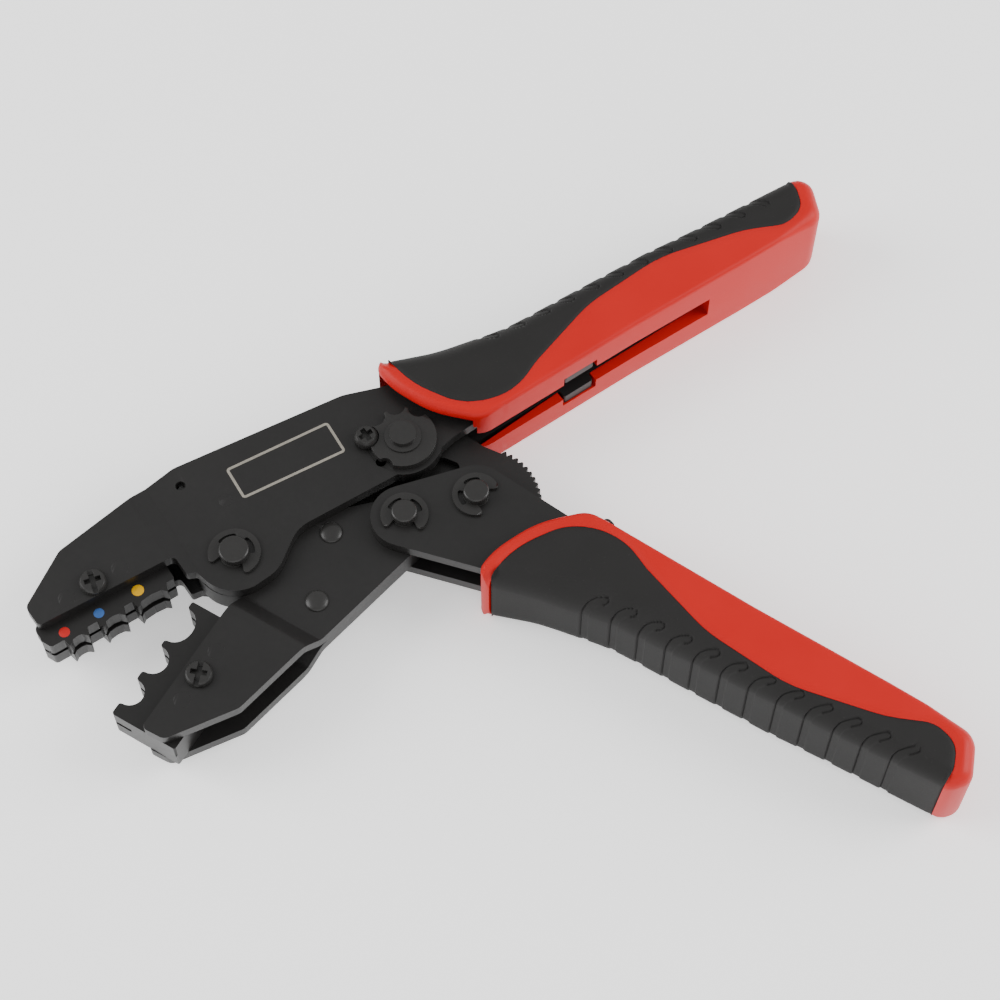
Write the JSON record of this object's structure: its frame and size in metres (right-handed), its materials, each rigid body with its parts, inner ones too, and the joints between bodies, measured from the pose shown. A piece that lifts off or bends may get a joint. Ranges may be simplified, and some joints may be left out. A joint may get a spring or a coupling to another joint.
{
  "type": "crimping pliers",
  "caption": "Ratchet crimping pliers with a stamped-plate frame, a nest die for insulated terminals, a toggle link with an adjuster, and two soft-grip handles.",
  "frame": {"origin": "centre of the bounding box in plan, at the level of the lower faces of the handle sleeves, on which the tool lies", "axes": "+Z through the thickness of the tool, towards the side with the adjuster wheel; +X from the crimping jaws towards the handle ends; +Y towards the fixed handle"},
  "size_m": [0.2128, 0.1618, 0.024],
  "materials": {
    "plate_black": "black oxide, satin",
    "die_black": "black oxide, satin",
    "hardware_steel": "darkened steel",
    "spring_steel": "bright wire",
    "sleeve_red": "satin moulding",
    "grip_black": "soft overmoulding with ribs"
  },
  "bodies": {
    "frame": {"front_frame_plate": "plate_black", "rear_frame_plate": "plate_black", "upper_die": "die_black", "upper_die_screw": "hardware_steel", "upper_die_dowels": "hardware_steel", "main_pivot_pin": "hardware_steel", "main_pivot_clips": "hardware_steel", "spring_anchor_pin": "hardware_steel", "eccentric_pin": "hardware_steel", "adjuster_wheel": "hardware_steel", "adjuster_lock_screw": "hardware_steel", "eccentric_clip": "hardware_steel", "frame_spacers": "hardware_steel", "fixed_handle_sleeve": "sleeve_red", "fixed_handle_grip": "grip_black", "opening_spring": "spring_steel"},
    "jaw": {"front_jaw_plate": "plate_black", "rear_jaw_plate": "plate_black", "jaw_rivets": "hardware_steel", "lower_die": "die_black", "lower_die_screw": "hardware_steel", "lower_die_dowels": "hardware_steel"},
    "moving_handle": {"front_handle_plate": "plate_black", "rear_handle_plate": "plate_black", "jaw_pin": "hardware_steel", "jaw_pin_clips": "hardware_steel", "link_pin": "hardware_steel", "link_pin_clips": "hardware_steel", "handle_spacers": "hardware_steel", "pawl_pin": "hardware_steel", "pawl_spring": "spring_steel", "moving_handle_sleeve": "sleeve_red", "moving_handle_grip": "grip_black"},
    "link": {"toggle_link": "plate_black", "ratchet_plate": "plate_black", "link_washer": "hardware_steel"},
    "pawl": {"pawl": "plate_black"}
  },
  "joints": [
    {"name": "jaw_pivot", "type": "hinge", "parent": "frame", "child": "jaw", "pos_m": [-0.05902, -0.02183, 0.012], "axis": [0, 0, 1], "range_deg": [-26.3, 0], "deforming": ["opening_spring"]},
    {"name": "handle_hinge", "type": "hinge", "parent": "jaw", "child": "moving_handle", "pos_m": [-0.01992, -0.01183, 0.012], "axis": [0, 0, 1], "range_deg": [0, 80.3], "stiffness_Nm_per_rad": 0.12, "springref_deg": -28.65},
    {"name": "link_hinge", "type": "hinge", "parent": "moving_handle", "child": "link", "pos_m": [-0.00322, -0.00653, 0.012], "axis": [0, 0, 1], "range_deg": [-86.66, 0]},
    {"name": "pawl_hinge", "type": "hinge", "parent": "moving_handle", "child": "pawl", "pos_m": [0.01858, -0.01908, 0.012], "axis": [0, 0, -1], "range_deg": [0, 12], "stiffness_Nm_per_rad": 0.05, "springref_deg": -17.19, "deforming": ["pawl_spring"]}
  ],
  "couplings": [
    {"joint": "jaw_pivot", "follows": "handle_hinge", "ratio": -0.32751},
    {"joint": "link_hinge", "follows": "handle_hinge", "ratio": -1.0791}
  ]
}
